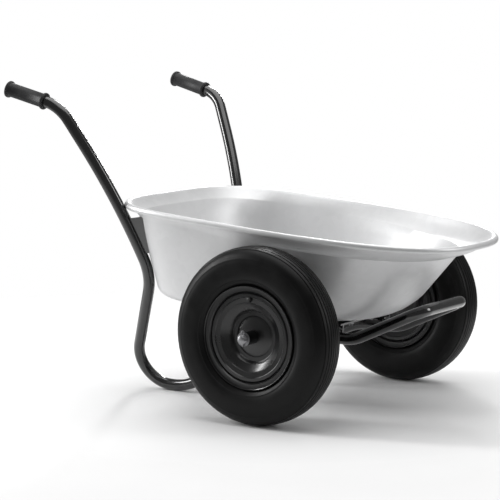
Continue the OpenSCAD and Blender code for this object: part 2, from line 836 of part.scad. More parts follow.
module valve_cap(side) {
    cap_r = valve_stem_r + 1.3;
    color(rubber_colour) wheel_place(side) translate([valve_r, 0, valve_end - 7]) difference() {
        cylinder(r = cap_r, h = 11);
        translate([0, 0, -1]) cylinder(r = valve_stem_r + gap, h = 8.2);
    }
}

// ---- Assembly ----

// Sets the part's origin below the middle of its length
module in_frame() {
    end = grip_outer(1);
    d = grip_direction(1);
    grip_edge = end[0] + grip_edge_r * -d[0]
        - (grip_r + grip_flange - grip_edge_r) * sqrt(1 - d[0] * d[0]) - grip_edge_r;
    nose = tub_l * cos(tub_pitch) - tub_back + bead_r;
    translate([-(grip_edge + nose) / 2, 0, 0]) children();
}

in_frame() tub();
in_frame() rim_wire();
in_frame() side_tube(-1);  // side_tube_right
in_frame() side_tube(1);  // side_tube_left
in_frame() front_loop();
in_frame() joint_sleeve(-1);  // joint_sleeve_right
in_frame() joint_sleeve(1);  // joint_sleeve_left
in_frame() gusset(-1);  // gusset_right
in_frame() gusset(1);  // gusset_left
in_frame() saddle(saddle_x[0], rear_leg_z, runner_slope);  // saddle_rear
in_frame() saddle(saddle_x[1], runner_z, 0);  // saddle_front
in_frame() tub_studs();
in_frame() tub_nuts();
in_frame() grip(-1);  // grip_right
in_frame() grip(1);  // grip_left
in_frame() axle();
in_frame() axle_bracket(-1);  // axle_bracket_right
in_frame() axle_bracket(1);  // axle_bracket_left
in_frame() axle_collar(-1);  // axle_collar_right
in_frame() axle_collar(1);  // axle_collar_left
in_frame() axle_washer(-1);  // axle_washer_right
in_frame() axle_washer(1);  // axle_washer_left
in_frame() split_pin(-1);  // split_pin_right
in_frame() split_pin(1);  // split_pin_left
in_frame() tyre(-1);  // tyre_right
in_frame() tyre(1);  // tyre_left
in_frame() inner_tube(-1);  // inner_tube_right
in_frame() inner_tube(1);  // inner_tube_left
in_frame() rim(-1);  // rim_right
in_frame() rim(1);  // rim_left
in_frame() disc(-1, true);  // disc_outer_right
in_frame() disc(1, true);  // disc_outer_left
in_frame() disc(-1, false);  // disc_inner_right
in_frame() disc(1, false);  // disc_inner_left
in_frame() hub_sleeve(-1);  // hub_sleeve_right
in_frame() hub_sleeve(1);  // hub_sleeve_left
in_frame() hub_dome(-1, true);  // hub_dome_outer_right
in_frame() hub_dome(1, true);  // hub_dome_outer_left
in_frame() hub_dome(-1, false);  // hub_dome_inner_right
in_frame() hub_dome(1, false);  // hub_dome_inner_left
in_frame() bush(-1, true);  // bush_outer_right
in_frame() bush(1, true);  // bush_outer_left
in_frame() bush(-1, false);  // bush_inner_right
in_frame() bush(1, false);  // bush_inner_left
in_frame() valve(-1);  // valve_right
in_frame() valve(1);  // valve_left
in_frame() valve_cap(-1);  // valve_cap_right
in_frame() valve_cap(1);  // valve_cap_left
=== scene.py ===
import json
import math

import bpy
from bpy.props import FloatProperty, FloatVectorProperty, IntProperty, PointerProperty
from bpy.types import Operator, Panel, PropertyGroup
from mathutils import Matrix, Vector

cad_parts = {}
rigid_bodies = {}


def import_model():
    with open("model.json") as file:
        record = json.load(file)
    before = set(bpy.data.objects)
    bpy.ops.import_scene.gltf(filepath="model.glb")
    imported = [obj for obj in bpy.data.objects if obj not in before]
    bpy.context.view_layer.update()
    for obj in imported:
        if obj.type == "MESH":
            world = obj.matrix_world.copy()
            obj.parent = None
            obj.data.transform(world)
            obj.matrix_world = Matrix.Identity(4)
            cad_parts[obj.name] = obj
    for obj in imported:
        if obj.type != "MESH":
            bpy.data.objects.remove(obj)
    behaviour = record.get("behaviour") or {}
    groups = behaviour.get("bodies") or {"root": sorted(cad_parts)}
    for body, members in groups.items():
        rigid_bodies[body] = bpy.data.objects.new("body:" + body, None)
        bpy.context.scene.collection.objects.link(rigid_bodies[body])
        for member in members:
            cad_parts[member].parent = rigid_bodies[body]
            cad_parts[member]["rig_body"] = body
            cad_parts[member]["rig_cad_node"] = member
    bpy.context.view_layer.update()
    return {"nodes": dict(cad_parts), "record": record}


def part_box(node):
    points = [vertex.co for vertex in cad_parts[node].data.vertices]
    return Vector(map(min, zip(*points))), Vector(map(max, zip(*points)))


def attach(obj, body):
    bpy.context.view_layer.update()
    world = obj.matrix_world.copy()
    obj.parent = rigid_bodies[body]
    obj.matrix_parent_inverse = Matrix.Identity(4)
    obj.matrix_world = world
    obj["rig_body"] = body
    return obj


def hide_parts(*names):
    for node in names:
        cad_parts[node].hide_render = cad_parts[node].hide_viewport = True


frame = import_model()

bl_info = {
    "name": "Two-wheeled wheelbarrow",
    "version": (1, 0, 0),
    "blender": (4, 5, 0),
    "location": "View3D > Sidebar > Barrow",
    "description": "Builds the tub, tube frame, wheels and grips of a garden wheelbarrow",
    "category": "Object",
}

MM = 0.001
SIDES = {"right": -1, "left": 1}
SLOTS = {part["node"]: part["material_slot"] for part in frame["record"]["subparts"]}


def middle(node):
    low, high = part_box(node)
    return (low + high) / 2


AXLE = Vector((middle("axle").x, 0, middle("axle").z))
WHEEL_Y = middle("tyre_left").y


def wheel_centre(side):
    return Vector((AXLE.x, side * WHEEL_Y, AXLE.z))


# ---- Sizes and finishes that a user would change ----

class BarrowTub(PropertyGroup):
    columns: IntProperty(name="Columns", description="Divisions around the tub", default=160, min=80, max=240)
    sheet: FloatProperty(name="Sheet", description="Thickness of the tub's sheet", default=0.0012,
                         min=0.001, max=0.0015, unit="LENGTH")
    bead: FloatProperty(name="Bead", description="Diameter of the rolled bead", default=0.015,
                        min=0.013, max=0.017, unit="LENGTH")
    colour: FloatVectorProperty(name="Steel", description="Colour of the galvanised sheet",
                                default=(0.765, 0.768, 0.773), subtype="COLOR", min=0, max=1)
    roughness: FloatProperty(name="Roughness", description="Mean roughness of the galvanised sheet",
                             default=0.42, min=0.1, max=0.8, subtype="FACTOR")


class BarrowTubes(PropertyGroup):
    diameter: FloatProperty(name="Diameter", description="Outer diameter of the frame tube", default=0.0269,
                            min=0.024, max=0.03, unit="LENGTH")
    sides: IntProperty(name="Sides", description="Divisions around each tube", default=40, min=24, max=64)
    bend_step: FloatProperty(name="Bend step", description="Angle between two rings of a bend",
                             default=math.radians(3), unit="ROTATION")
    colour: FloatVectorProperty(name="Powder coat", description="Colour of the frame's gloss powder coat",
                                default=(0.002, 0.002, 0.0022), subtype="COLOR", min=0, max=1)


class BarrowWheels(PropertyGroup):
    columns: IntProperty(name="Columns", description="Divisions around each wheel", default=144,
                         min=72, max=240)
    ribs: IntProperty(name="Grooves", description="Grooves around the tread", default=8, min=0, max=10)
    tyre_colour: FloatVectorProperty(name="Rubber", description="Colour of the tyres",
                                     default=(0.0022, 0.0022, 0.0023), subtype="COLOR", min=0, max=1)
    rim_colour: FloatVectorProperty(name="Rim", description="Colour of the rims' powder coat",
                                    default=(0.003, 0.003, 0.0033), subtype="COLOR", min=0, max=1)


class BarrowGrips(PropertyGroup):
    colour: FloatVectorProperty(name="Grip", description="Colour of the grips' rubber",
                                default=(0.035, 0.035, 0.036), subtype="COLOR", min=0, max=1)


# Finishes by material slot, which the finishes operator makes
FINISHES = {}


# ---- Modelling by hand ----

def deselect():
    if bpy.context.object and bpy.context.object.mode != "OBJECT":
        bpy.ops.object.mode_set(mode="OBJECT")
    bpy.ops.object.select_all(action="DESELECT")


def edit():
    bpy.ops.object.mode_set(mode="EDIT")
    bpy.ops.mesh.select_all(action="SELECT")


def leave(name, smooth=math.radians(35)):
    """Leaves edit mode, names the new piece and smooths the edges that turn by less than an angle."""
    bpy.ops.object.mode_set(mode="OBJECT")
    piece = bpy.context.object
    piece.name = piece.data.name = name
    bpy.ops.object.shade_smooth_by_angle(angle=smooth)
    return piece


def push(value):
    bpy.ops.mesh.extrude_region_move(TRANSFORM_OT_translate={"value": value})


def apply(piece, kind, **settings):
    """Adds a modifier and applies it."""
    modifier = piece.modifiers.new(kind.title(), kind)
    for key, value in settings.items():
        setattr(modifier, key, value)
    bpy.ops.object.modifier_apply(modifier=modifier.name)


def merge():
    bpy.ops.mesh.select_all(action="SELECT")
    bpy.ops.mesh.remove_doubles(threshold=1e-6)
    bpy.ops.mesh.normals_make_consistent(inside=False)


def own(piece, body, slot, material, *nodes):
    """Gives a piece its material and its place in the frame."""
    piece.data.materials.clear()
    piece.data.materials.append(material)
    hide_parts(*nodes)
    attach(piece, body)
    return piece


def lathe(name, profile, centre, axis, up, columns, smooth=math.radians(35)):
    """Turns a profile of (distance along the axis, distance from it) points right round the axis."""
    axis, up = Vector(axis).normalized(), Vector(up).normalized()
    spots = [centre + axis * p[0] + up * p[1] for p in profile]
    spots.append(spots[0])
    deselect()
    bpy.ops.mesh.primitive_plane_add(size=0.001, location=spots[0])
    bpy.ops.object.transform_apply(location=True, rotation=True, scale=True)
    edit()
    bpy.ops.mesh.merge(type="CENTER")
    for before, after in zip(spots, spots[1:]):
        push(after - before)
    bpy.ops.mesh.select_all(action="SELECT")
    bpy.ops.mesh.remove_doubles(threshold=1e-7)
    bpy.ops.mesh.spin(steps=columns, angle=math.tau, center=centre, axis=axis)
    merge()
    return leave(name, smooth)


def bend_fit(corners, radii):
    """Radius of each bend, shortened where two bends share a straight that is too short for both."""
    last = len(corners) - 1
    turns, reach = [0] * (last + 1), [0] * (last + 1)
    for i in range(1, last):
        turns[i] = (corners[i] - corners[i - 1]).angle(corners[i + 1] - corners[i])
        reach[i] = radii[i] * math.tan(turns[i] / 2)
    fitted = list(radii)
    for i in range(1, last):
        for j in (i - 1, i + 1):
            share = (corners[i] - corners[j]).length / (reach[i] + reach[j] + MM)
            fitted[i] = min(fitted[i], share * radii[i])
    return turns, fitted


def bent_tube(name, corners, radii, radius, sides, step):
    """Draws a ring, then pushes it along each straight and spins it round each bend."""
    turns, fitted = bend_fit(corners, radii)
    first = (corners[1] - corners[0]).to_track_quat("Z", "Y").to_euler()
    deselect()
    bpy.ops.mesh.primitive_circle_add(vertices=sides, radius=radius, location=corners[0], rotation=first)
    bpy.ops.object.transform_apply(location=True, rotation=True, scale=True)
    edit()
    here = corners[0]
    for i in range(1, len(corners) - 1):
        a = (corners[i] - corners[i - 1]).normalized()
        b = (corners[i + 1] - corners[i]).normalized()
        reach = fitted[i] * math.tan(turns[i] / 2)
        start = corners[i] - a * reach
        push(start - here)
        inward = (b - a * a.dot(b)).normalized()
        steps = max(3, math.ceil(turns[i] / step), math.ceil(fitted[i] * turns[i] / 0.02))
        bpy.ops.mesh.spin(steps=steps, angle=-turns[i], center=start + inward * fitted[i], axis=a.cross(b))
        here = corners[i] + b * reach
    push(corners[-1] - here)
    merge()
    bpy.ops.mesh.select_all(action="SELECT")
    bpy.ops.mesh.fill_holes(sides=0)
    merge()
    return leave(name)


def smoothed(node, body, smooth=math.radians(30)):
    """A merged copy of a CAD node with smooth shading, which stands for it."""
    deselect()
    source = frame["nodes"][node]
    piece = source.copy()
    piece.data = source.data.copy()
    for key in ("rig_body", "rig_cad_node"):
        del piece[key]
    piece.parent = None
    bpy.context.scene.collection.objects.link(piece)
    bpy.context.view_layer.objects.active = piece
    piece.select_set(True)
    edit()
    bpy.ops.mesh.remove_doubles(threshold=1e-6)
    leave(node + "_finished", smooth)
    return own(piece, body, SLOTS[node], FINISHES[SLOTS[node]], node)


# ---- Procedural finishes ----

def finish_nodes(name):
    material = bpy.data.materials.new(name)
    material.use_nodes = True
    return material, material.node_tree, material.node_tree.nodes["Principled BSDF"]


def noise(tree, scale, detail=4, roughness=0.55, stretch=(1, 1, 1)):
    """Noise in the piece's own metres."""
    place = tree.nodes.new("ShaderNodeTexCoord")
    mapping = tree.nodes.new("ShaderNodeMapping")
    mapping.inputs["Scale"].default_value = stretch
    texture = tree.nodes.new("ShaderNodeTexNoise")
    texture.inputs["Scale"].default_value = scale
    texture.inputs["Detail"].default_value = detail
    texture.inputs["Roughness"].default_value = roughness
    tree.links.new(place.outputs["Object"], mapping.inputs["Vector"])
    tree.links.new(mapping.outputs["Vector"], texture.inputs["Vector"])
    return texture.outputs["Fac"]


def spangle(tree, scale):
    """Cells of zinc crystal, one grey to each."""
    place = tree.nodes.new("ShaderNodeTexCoord")
    texture = tree.nodes.new("ShaderNodeTexVoronoi")
    texture.inputs["Scale"].default_value = scale
    tree.links.new(place.outputs["Object"], texture.inputs["Vector"])
    grey = tree.nodes.new("ShaderNodeRGBToBW")
    tree.links.new(texture.outputs["Color"], grey.inputs["Color"])
    return grey.outputs["Val"]


def spread(tree, source, low, high, from_low=0.3, from_high=0.7):
    """Maps a texture's value to a range."""
    node = tree.nodes.new("ShaderNodeMapRange")
    node.inputs["From Min"].default_value = from_low
    node.inputs["From Max"].default_value = from_high
    node.inputs["To Min"].default_value = low
    node.inputs["To Max"].default_value = high
    tree.links.new(source, node.inputs["Value"])
    return node.outputs["Result"]


def tint(tree, source, dark, light, low=0.3, high=0.7):
    """Colour ramp between two colours."""
    ramp = tree.nodes.new("ShaderNodeValToRGB")
    ramp.color_ramp.elements[0].position = low
    ramp.color_ramp.elements[1].position = high
    ramp.color_ramp.elements[0].color = (*dark, 1)
    ramp.color_ramp.elements[1].color = (*light, 1)
    tree.links.new(source, ramp.inputs["Fac"])
    return ramp.outputs["Color"]


def relief(tree, shader, source, strength, distance):
    bump = tree.nodes.new("ShaderNodeBump")
    bump.inputs["Strength"].default_value = strength
    bump.inputs["Distance"].default_value = distance
    tree.links.new(source, bump.inputs["Height"])
    tree.links.new(bump.outputs["Normal"], shader.inputs["Normal"])


def shade(colour, share):
    return tuple(min(1, c * share) for c in colour)


def galvanised(colour, roughness):
    material, tree, shader = finish_nodes("galvanised_steel")
    flake = spangle(tree, 70)
    cloud = noise(tree, 9)
    colour_out = tint(tree, flake, shade(colour, 0.98), shade(colour, 1.015), 0.1, 0.9)
    tree.links.new(colour_out, shader.inputs["Base Color"])
    tree.links.new(spread(tree, cloud, roughness - 0.05, roughness + 0.07), shader.inputs["Roughness"])
    shader.inputs["Metallic"].default_value = 0.45
    relief(tree, shader, noise(tree, 420, 2), 0.05, 0.0004)
    return material


def powder_coat(name, colour, roughness, coat):
    """Sprayed powder coat: a faint orange peel under a clear gloss."""
    material, tree, shader = finish_nodes(name)
    peel = noise(tree, 260, 2)
    cloud = noise(tree, 22)
    tree.links.new(tint(tree, cloud, shade(colour, 0.8), shade(colour, 1.25)), shader.inputs["Base Color"])
    tree.links.new(spread(tree, cloud, roughness * 0.85, roughness * 1.2), shader.inputs["Roughness"])
    shader.inputs["Coat Weight"].default_value = coat
    shader.inputs["Coat Roughness"].default_value = 0.14
    relief(tree, shader, peel, 0.02, 0.0002)
    return material


def rubber(name, colour, roughness, grain=900):
    material, tree, shader = finish_nodes(name)
    cloud = noise(tree, 30)
    tree.links.new(tint(tree, cloud, shade(colour, 0.8), shade(colour, 1.35)), shader.inputs["Base Color"])
    tree.links.new(spread(tree, cloud, roughness - 0.06, roughness + 0.08), shader.inputs["Roughness"])
    shader.inputs["Specular IOR Level"].default_value = 0.2
    relief(tree, shader, noise(tree, grain, 3), 0.14, 0.0004)
    return material


def bright_metal(name, colour, roughness):
    material, tree, shader = finish_nodes(name)
    brushed = noise(tree, 160, 3, 0.6, (1, 0.08, 1))
    tree.links.new(tint(tree, brushed, shade(colour, 0.86), colour), shader.inputs["Base Color"])
    tree.links.new(spread(tree, brushed, roughness - 0.06, roughness + 0.1), shader.inputs["Roughness"])
    shader.inputs["Metallic"].default_value = 1
    relief(tree, shader, brushed, 0.06, 0.0002)
    return material


def moulded(name, colour, roughness):
    material, tree, shader = finish_nodes(name)
    cloud = noise(tree, 120)
    tree.links.new(tint(tree, cloud, shade(colour, 0.9), colour), shader.inputs["Base Color"])
    tree.links.new(spread(tree, cloud, roughness - 0.05, roughness + 0.05), shader.inputs["Roughness"])
    relief(tree, shader, noise(tree, 700, 2), 0.08, 0.0002)
    return material


class BARROW_OT_finishes(Operator):
    """Makes the procedural finishes and gives them to the machined and pressed pieces"""
    bl_idname = "barrow.finishes"
    bl_label = "Finishes"

    def execute(self, context):
        tub, tubes = context.scene.barrow_tub, context.scene.barrow_tubes
        wheels, grips = context.scene.barrow_wheels, context.scene.barrow_grips
        FINISHES["galvanised_sheet"] = galvanised(tub.colour, tub.roughness)
        FINISHES["black_tube"] = powder_coat("frame_powder_coat", tubes.colour, 0.22, 1.0)
        FINISHES["black_rim"] = powder_coat("rim_powder_coat", wheels.rim_colour, 0.3, 0.3)
        FINISHES["tyre"] = rubber("tyre_rubber", wheels.tyre_colour, 0.42)
        FINISHES["butyl"] = rubber("inner_tube_butyl", (0.02, 0.02, 0.02), 0.6)
        FINISHES["grip_rubber"] = rubber("grip_rubber", grips.colour, 0.42, 1500)
        FINISHES["zinc"] = bright_metal("zinc_plate", (0.3, 0.3, 0.31), 0.34)
        FINISHES["steel_wire"] = bright_metal("drawn_wire", (0.6, 0.6, 0.62), 0.35)
        FINISHES["nylon"] = moulded("natural_nylon", (0.8, 0.78, 0.72), 0.45)
        FINISHES["brass"] = bright_metal("valve_brass", (0.7, 0.52, 0.25), 0.25)
        FINISHES["black_plastic"] = moulded("valve_cap_plastic", (0.02, 0.02, 0.02), 0.4)
        for name, node in frame["nodes"].items():
            node.data.materials.clear()
            node.data.materials.append(FINISHES[SLOTS[name]])
        return {"FINISHED"}


# ---- Tub ----

TUB_LENGTH, TUB_BACK, TUB_REAR, TUB_FRONT = 843, 467, 568, 613
TUB_DEPTH, TUB_HEIGHT, TUB_PITCH = 207, 459.947, math.radians(4.6)
FLOOR_LENGTH, FLOOR_WIDTH, FLOOR_BACK = 438, 420, 342
RIM_MIDDLE, RIM_SQUARE = 273, (3.7, 2.7)
FLOOR_MIDDLE, FLOOR_SQUARE = 132, (3.3, 2.15)
WALL_REAR = ((0.31, 0), (0.33, 0.11), (0.77, 0.91))
WALL_NOSE = ((0.25, 0), (0.435, 0.285), (0.715, 0.82))
ROLL_START, ROLL_END = 140, -130


def signed_power(value, exponent):
    return math.copysign(abs(value) ** exponent, value)


def outline(a, start, length, mid, square, rear, front):
    """Point of a rounded outline at direction a, wider at one end than at the other."""
    c, s = math.cos(a), math.sin(a)
    n = square[0] if c < 0 else square[1]
    x = mid + (mid if c < 0 else length - mid) * signed_power(c, 2 / n)
    return Vector((start + x, (rear + (front - rear) * x / length) / 2 * signed_power(s, 2 / n), 0))


def curve(a, b, c, steps):
    """Quadratic curve from a to c that is drawn towards b, without its first point."""
    shares = [k / steps for k in range(1, steps + 1)]
    return [(1 - s) ** 2 * a + 2 * s * (1 - s) * b + s * s * c for s in shares]


def wall(span, nose, bead):
    """Outline of the tub's inner face from the floor's edge up and round the rolled bead."""
    low, bend, high = (
        Vector(((r[0] * (1 - nose) + n[0] * nose) * span, -TUB_DEPTH * (1 - r[1] * (1 - nose) - n[1] * nose)))
        for r, n in zip(WALL_REAR, WALL_NOSE)
    )
    a = math.radians(ROLL_START)
    top = Vector((span + bead * math.cos(a), bead * math.sin(a)))
    lip = top - 0.6 * (top - high).length * Vector((math.sin(a), -math.cos(a)))
    foot = Vector((0, -TUB_DEPTH))
    path = [foot, *curve(foot, low, bend, 8), *curve(bend, (bend + high) / 2, high, 4),
            *curve(high, lip, top, 8)]
    for k in range(1, 19):
        q = math.radians(ROLL_START + (ROLL_END - ROLL_START) * k / 18)
        path.append(Vector((span + bead * math.cos(q), bead * math.sin(q))))
    return path


def tub_columns(columns, bead):
    """The wall's outline at each direction round the tub, in the tub's own frame."""
    result = []
    for k in range(columns):
        a = math.tau * k / columns
        foot = outline(a, TUB_BACK - FLOOR_BACK, FLOOR_LENGTH, FLOOR_MIDDLE, FLOOR_SQUARE,
                       FLOOR_WIDTH, FLOOR_WIDTH)
        rim = outline(a, 0, TUB_LENGTH, RIM_MIDDLE, RIM_SQUARE, TUB_REAR, TUB_FRONT)
        way = (rim - foot).normalized()
        points = wall((rim - foot).length, (1 + math.cos(a)) / 2, bead / MM / 2)
        result.append([foot + way * p.x + Vector((0, 0, p.y)) for p in points])
    return result


def in_barrow(p):
    """From the tub's own frame in millimetres to the barrow's frame."""
    c, s = math.cos(TUB_PITCH), math.sin(TUB_PITCH)
    x, z = p.x * c + p.z * s - TUB_BACK, TUB_HEIGHT - p.x * s + p.z * c
    return Vector((x * MM + AXLE.x, p.y * MM, z * MM))


class BARROW_OT_tub(Operator):
    """Presses the tub from one sheet, with a rolled bead round its rim"""
    bl_idname = "barrow.tub"
    bl_label = "Tub"

    def execute(self, context):
        shape = context.scene.barrow_tub
        walls = tub_columns(shape.columns, shape.bead)
        rows = len(walls[0])
        deselect()
        bpy.ops.mesh.primitive_circle_add(vertices=shape.columns, radius=0.2)
        edit()
        for row in range(1, rows):
            bpy.ops.mesh.extrude_region_move(TRANSFORM_OT_translate={"value": (0, 0, 0.01)})
        bpy.ops.object.mode_set(mode="OBJECT")
        piece = bpy.context.object
        start = {}
        for vertex in piece.data.vertices:
            row = round(vertex.co.z / 0.01)
            column = round(math.atan2(vertex.co.y, vertex.co.x) / math.tau * shape.columns) % shape.columns
            start[(row, column)] = vertex.index
        if len(start) != rows * shape.columns:
            raise RuntimeError("the tub's rings didn't come out whole")
        for (row, column), index in start.items():
            piece.data.vertices[index].co = in_barrow(walls[column][row])
        edit()
        bpy.ops.mesh.select_all(action="DESELECT")
        bpy.ops.object.mode_set(mode="OBJECT")
        for column in range(shape.columns):
            piece.data.vertices[start[(0, column)]].select = True
        bpy.ops.object.mode_set(mode="EDIT")
        bpy.ops.mesh.select_mode(type="VERT")
        bpy.ops.mesh.edge_face_add()
        bpy.ops.mesh.inset(thickness=0.012)
        bpy.ops.mesh.inset(thickness=0.03)
        bpy.ops.mesh.select_all(action="SELECT")
        bpy.ops.mesh.normals_make_consistent(inside=True)
        leave("tub_pressing", math.radians(40))
        floor = min(piece.data.polygons, key=lambda f: f.center.z)
        apply(piece, "SOLIDIFY", thickness=shape.sheet, offset=-1 if floor.normal.z > 0 else 1,
              use_even_offset=True)
        bpy.ops.object.shade_smooth_by_angle(angle=math.radians(40))
        own(piece, "barrow", "galvanised_sheet", FINISHES["galvanised_sheet"], "tub")
        return {"FINISHED"}


# ---- Frame ----

RUNNER_Y, GRIP_LENGTH, GRIP_RISE = 107, 106, math.radians(14.5)
HANDLE, ELBOW, SWEEP = (-588, 696), (-549, 696 - 39 * math.tan(math.radians(14.5))), (-437, 474.947)
KNEE, HEEL, TOE = (-382.95, 287.947), -502, -349
SIDE_RADII = (0, 84, 1500, 135, 75, 150, 0)
JOINT_BACK, LEVEL_HEIGHT, LEVEL_START, LEVEL_END = 100, 171.05, 4, 117
NOSE = (289, 250.05)
LOOP_RADII = (0, 150, 100, 36, 36, 100, 150, 0)
SPLAY = math.radians(18.0001)


def leg_point(side, x, z, tube):
    """Point on a side tube's middle line: handles splay outwards above the runners."""
    y = RUNNER_Y + max(z - tube, 0) * math.tan(SPLAY)
    return Vector((x * MM + AXLE.x, side * y * MM, z * MM))


def runner_point(side, back, tube):
    z = tube + (LEVEL_HEIGHT - tube) * (-TOE - back) / (-TOE + LEVEL_START)
    return Vector((-back * MM + AXLE.x, side * RUNNER_Y * MM, z * MM))


def grip_line(side, tube):
    inner = leg_point(side, *HANDLE, tube)
    outer = leg_point(side, HANDLE[0] - GRIP_LENGTH * math.cos(GRIP_RISE),
                      HANDLE[1] + GRIP_LENGTH * math.sin(GRIP_RISE), tube)
    return inner, (outer - inner).normalized()


class BARROW_OT_side_tubes(Operator):
    """Bends the two side tubes, each from its grip down through the leg and foot to its runner"""
    bl_idname = "barrow.side_tubes"
    bl_label = "Side tubes"

    def execute(self, context):
        shape = context.scene.barrow_tubes
        tube = shape.diameter / 2 / MM
        for name, side in SIDES.items():
            inner, way = grip_line(side, tube)
            corners = [
                inner + way * (GRIP_LENGTH - 3.1) * MM,
                leg_point(side, *ELBOW, tube), leg_point(side, *SWEEP, tube), leg_point(side, *KNEE, tube),
                leg_point(side, HEEL, tube, tube), leg_point(side, TOE, tube, tube),
                runner_point(side, JOINT_BACK, tube),
            ]
            radii = [r * MM for r in SIDE_RADII]
            piece = bent_tube(f"side_tube_bent_{name}", corners, radii, shape.diameter / 2, shape.sides,
                              shape.bend_step)
            own(piece, "barrow", "black_tube", FINISHES["black_tube"], f"side_tube_{name}")
        return {"FINISHED"}


class BARROW_OT_front_loop(Operator):
    """Bends the front loop, from one runner round under the tub's nose to the other"""
    bl_idname = "barrow.front_loop"
    bl_label = "Front loop"

    def execute(self, context):
        shape = context.scene.barrow_tubes
        tube = shape.diameter / 2 / MM
        halves = {
            side: [runner_point(side, JOINT_BACK, tube)] + [
                Vector((x * MM + AXLE.x, side * RUNNER_Y * MM, z * MM))
                for x, z in ((LEVEL_START, LEVEL_HEIGHT), (LEVEL_END, LEVEL_HEIGHT), NOSE)
            ] for side in SIDES.values()
        }
        corners = halves[-1] + halves[1][::-1]
        piece = bent_tube("front_loop_bent", corners, [r * MM for r in LOOP_RADII], shape.diameter / 2,
                          shape.sides, shape.bend_step)
        own(piece, "barrow", "black_tube", FINISHES["black_tube"], "front_loop")
        return {"FINISHED"}


# Radii of the grip's body and flanges, and its gap round the tube
GRIP_BODY, GRIP_FLANGE, GRIP_FIT = 16.5, 20, 0.15


class BARROW_OT_grips(Operator):
    """Moulds the two grips, with a rounded flange at each end"""
    bl_idname = "barrow.grips"
    bl_label = "Grips"

    def execute(self, context):
        tube = context.scene.barrow_tubes.diameter / 2 / MM
        bore = tube + GRIP_FIT
        profile = [
            (0, bore), (0, 18.6), (0.7, 19.6), (2, GRIP_FLANGE), (4, GRIP_FLANGE), (5.3, 19.6), (6, 18.6),
            (6.4, 17.2), (7.2, GRIP_BODY), (98.8, GRIP_BODY), (99.6, 17.2), (100, 18.6), (100.7, 19.6),
            (102, GRIP_FLANGE), (104, GRIP_FLANGE), (105.3, 19.6), (106, 18.6), (106, 0.01), (103, 0.01),
            (103, bore)
        ]
        for name, side in SIDES.items():
            inner, way = grip_line(side, tube)
            up = way.orthogonal()
            piece = lathe(f"grip_moulded_{name}", [(a * MM, r * MM) for a, r in profile], inner, way, up, 64,
                          smooth=math.radians(50))
            own(piece, "barrow", "grip_rubber", FINISHES["grip_rubber"], f"grip_{name}")
        return {"FINISHED"}


class BARROW_OT_fittings(Operator):
    """Smooths the axle and the small fittings of the frame"""
    bl_idname = "barrow.fittings"
    bl_label = "Fittings"

    def execute(self, context):
        for node in ("axle", "tub_studs", "axle_bracket_right", "axle_bracket_left", "axle_collar_right",
                     "axle_collar_left", "axle_washer_right", "axle_washer_left", "split_pin_right",
                     "split_pin_left", "rim_wire", "saddle_rear", "saddle_front", "gusset_right",
                     "gusset_left"):
            smoothed(node, "barrow")
        return {"FINISHED"}


# ---- Wheels ----

# Middle radius of the tyre's section, its half height and half width, and its squareness
TYRE_MID, TYRE_HALF_H, TYRE_HALF_W, TYRE_SQUARE = 154, 46, 48, 2.6
# Half width and half height of the tyre's hollow, and its squareness
HOLLOW_HALF_W, HOLLOW_HALF_H, HOLLOW_SQUARE = 43, 38, 2.4
# Radius at which the sidewall reaches the rim's flange
TYRE_FOOT = 118.8
GROOVE_PITCH, GROOVE_DEPTH = 8.4, 2
# Distances from a groove's middle to its wall, to its rounded lip and to the plain tread
GROOVE_WALL, GROOVE_LIP, GROOVE_EDGE = 0.7, 0.9, 1.35
# Radius of each moulding line on the sidewall, and how far it stands out
MOULDING_LINES = ((176, 0.7), (128, 0.8))
# The bead, which grips the rim
BEAD = ((34.4, 116), (34.4, 104.6), (31.2, 101.7), (24.4, 101.7), (23.4, 106.6))


def section_point(a, half_w, half_h, square):
    """Point of a tyre-like section at an angle up from its widest part."""
    return (half_w * signed_power(math.cos(a), 2 / square),
            TYRE_MID + half_h * signed_power(math.sin(a), 2 / square))


def crown(w):
    """Radius of the tread at a distance from the wheel's middle plane."""
    return TYRE_MID + TYRE_HALF_H * (1 - abs(w / TYRE_HALF_W) ** TYRE_SQUARE) ** (1 / TYRE_SQUARE)


def tyre_profile(ribs):
    """Section of the tyre as (distance from the wheel's middle plane, distance from the axle)."""
    low = math.asin(((TYRE_MID - TYRE_FOOT) / TYRE_HALF_H) ** (TYRE_SQUARE / 2))
    half = [section_point(math.pi / 2 - (math.pi / 2 + low) * (k / 48), TYRE_HALF_W, TYRE_HALF_H, TYRE_SQUARE)
            for k in range(49)]
    tread = []
    edge = ribs / 2 * GROOVE_PITCH
    for i in range(ribs):
        w = (i - (ribs - 1) / 2) * GROOVE_PITCH
        floor, lip = crown(w) - GROOVE_DEPTH, crown(w) - 0.5
        tread += [(w - GROOVE_EDGE, crown(w - GROOVE_EDGE)), (w - GROOVE_LIP, lip), (w - GROOVE_WALL, floor),
                  (w + GROOVE_WALL, floor), (w + GROOVE_LIP, lip), (w + GROOVE_EDGE, crown(w + GROOVE_EDGE))]
    outer = [p for p in half if p[0] > edge]
    for r, out in MOULDING_LINES:
        i = min(range(len(outer)), key=lambda j: abs(outer[j][1] - r))
        outer[i] = (outer[i][0] + out, outer[i][1])
    start = math.radians(40)
    angles = [-start + (math.pi / 2 + start) * k / 24 for k in range(25)]
    inner = [section_point(a, HOLLOW_HALF_W, HOLLOW_HALF_H, HOLLOW_SQUARE) for a in angles]
    right = outer + list(BEAD) + inner
    left = [(-w, r) for w, r in reversed(right)]
    return tread + right + left[1:]


